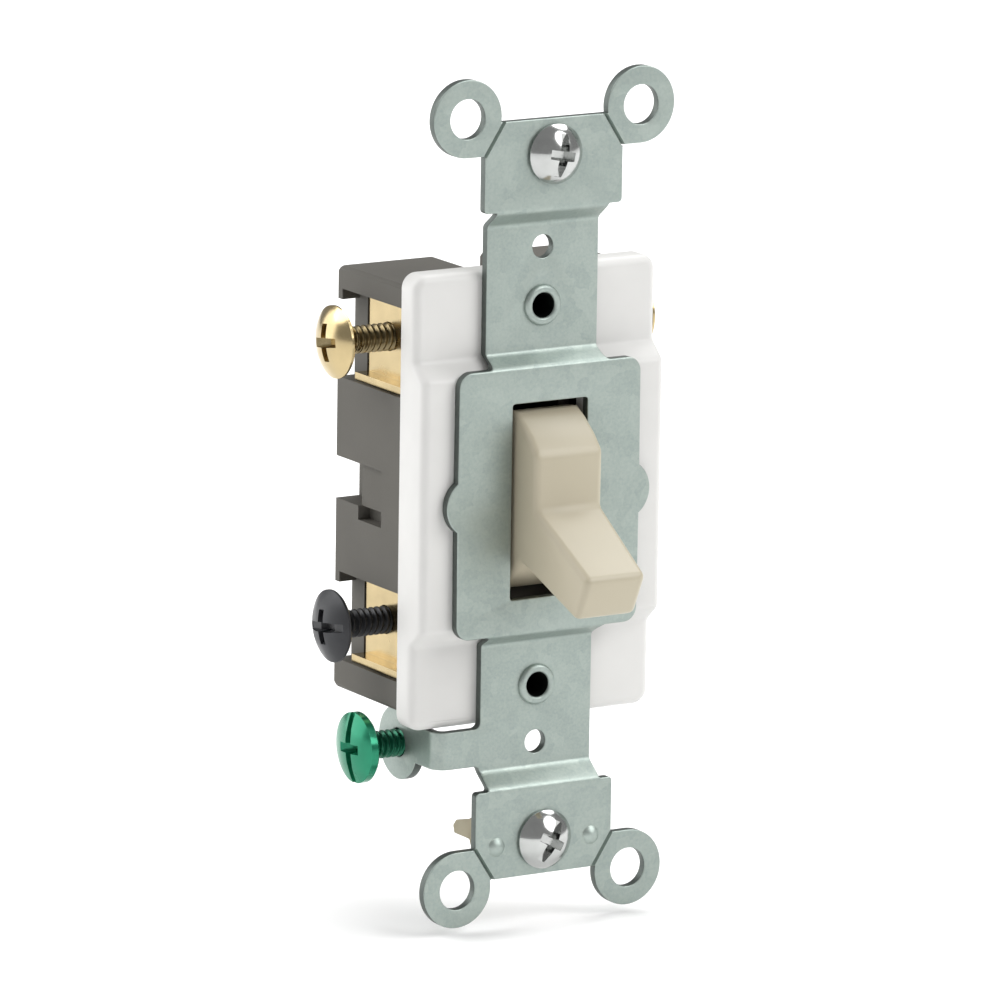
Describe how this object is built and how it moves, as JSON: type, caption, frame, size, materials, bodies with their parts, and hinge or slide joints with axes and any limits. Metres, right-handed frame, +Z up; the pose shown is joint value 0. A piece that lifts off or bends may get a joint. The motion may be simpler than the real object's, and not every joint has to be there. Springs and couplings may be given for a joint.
{
  "type": "toggle wall switch",
  "caption": "Three-way toggle wall switch on a pressed steel mounting strap, with a lever, side wiring screws, a ground screw and two box screws.",
  "frame": {"origin": "the middle of the four ear holes, midway between the two box screws, on the rear face of the strap's ears, the plane that rests on the box or wall", "axes": "+Z up along the strap, +X to the right seen from the front, +Y back into the box; the lever points forward, to -Y"},
  "size_m": [0.0452, 0.0384, 0.1026],
  "materials": {
    "zinc": "galvanised, dull, faint spangle",
    "bright_zinc": "bright zinc plate",
    "white_plastic": "white, satin moulding",
    "grey_plastic": "warm grey, satin moulding",
    "almond_plastic": "light almond, smooth moulding",
    "terminal_brass": "stamped brass",
    "brass_screw": "bright brass plate",
    "black_screw": "black oxide",
    "green_screw": "green, glossy",
    "contact_silver": "silver alloy contact",
    "spring_steel": "drawn wire",
    "fibre": "pressed fibre sheet",
    "clip_bronze": "dull bronze spring sheet"
  },
  "bodies": {
    "housing": {"mounting_strap": "zinc", "front_frame": "white_plastic", "rear_body": "grey_plastic", "common_terminal": "terminal_brass", "left_traveller_terminal": "terminal_brass", "right_traveller_terminal": "terminal_brass", "upper_fixed_contact": "contact_silver", "lower_fixed_contact": "contact_silver", "top_screw_retainer": "fibre", "bottom_screw_retainer": "fibre", "upper_eyelet": "bright_zinc", "lower_eyelet": "bright_zinc", "grounding_clip": "clip_bronze", "clip_stakes": "zinc"},
    "lever": {"toggle": "almond_plastic"},
    "rocker": {"contact_rocker": "terminal_brass", "upper_moving_contact": "contact_silver", "lower_moving_contact": "contact_silver", "drive_spring": "spring_steel"},
    "left_traveller": {"left_traveller_screw": "brass_screw"},
    "common": {"common_screw": "black_screw"},
    "right_traveller": {"right_traveller_screw": "brass_screw"},
    "ground": {"ground_screw": "green_screw"},
    "top_box_screw": {"top_mounting_screw": "bright_zinc"},
    "bottom_box_screw": {"bottom_mounting_screw": "bright_zinc"}
  },
  "joints": [
    {"name": "lever_hinge", "type": "hinge", "parent": "housing", "child": "lever", "pos_m": [0, 0.0037, 0], "axis": [-1, 0, 0], "range_deg": [0, 51.4], "deforming": ["drive_spring"]},
    {"name": "rocker_hinge", "type": "hinge", "parent": "housing", "child": "rocker", "pos_m": [0, 0.016, 0], "axis": [1, 0, 0], "range_deg": [0, 14]},
    {"name": "left_traveller_travel", "type": "slide", "parent": "housing", "child": "left_traveller", "axis": [1, 0, 0], "range_m": [0, 0.0069]},
    {"name": "common_travel", "type": "slide", "parent": "housing", "child": "common", "axis": [1, 0, 0], "range_m": [0, 0.0069]},
    {"name": "right_traveller_travel", "type": "slide", "parent": "housing", "child": "right_traveller", "axis": [-1, 0, 0], "range_m": [0, 0.0069]},
    {"name": "ground_travel", "type": "slide", "parent": "housing", "child": "ground", "axis": [1, 0, 0], "range_m": [0, 0.0047]},
    {"name": "top_box_screw_travel", "type": "slide", "parent": "housing", "child": "top_box_screw", "axis": [0, -1, 0], "range_m": [0, 0.006]},
    {"name": "bottom_box_screw_travel", "type": "slide", "parent": "housing", "child": "bottom_box_screw", "axis": [0, -1, 0], "range_m": [0, 0.006]}
  ],
  "couplings": [
    {"joint": "rocker_hinge", "follows": "lever_hinge", "ratio": 0.27237}
  ]
}
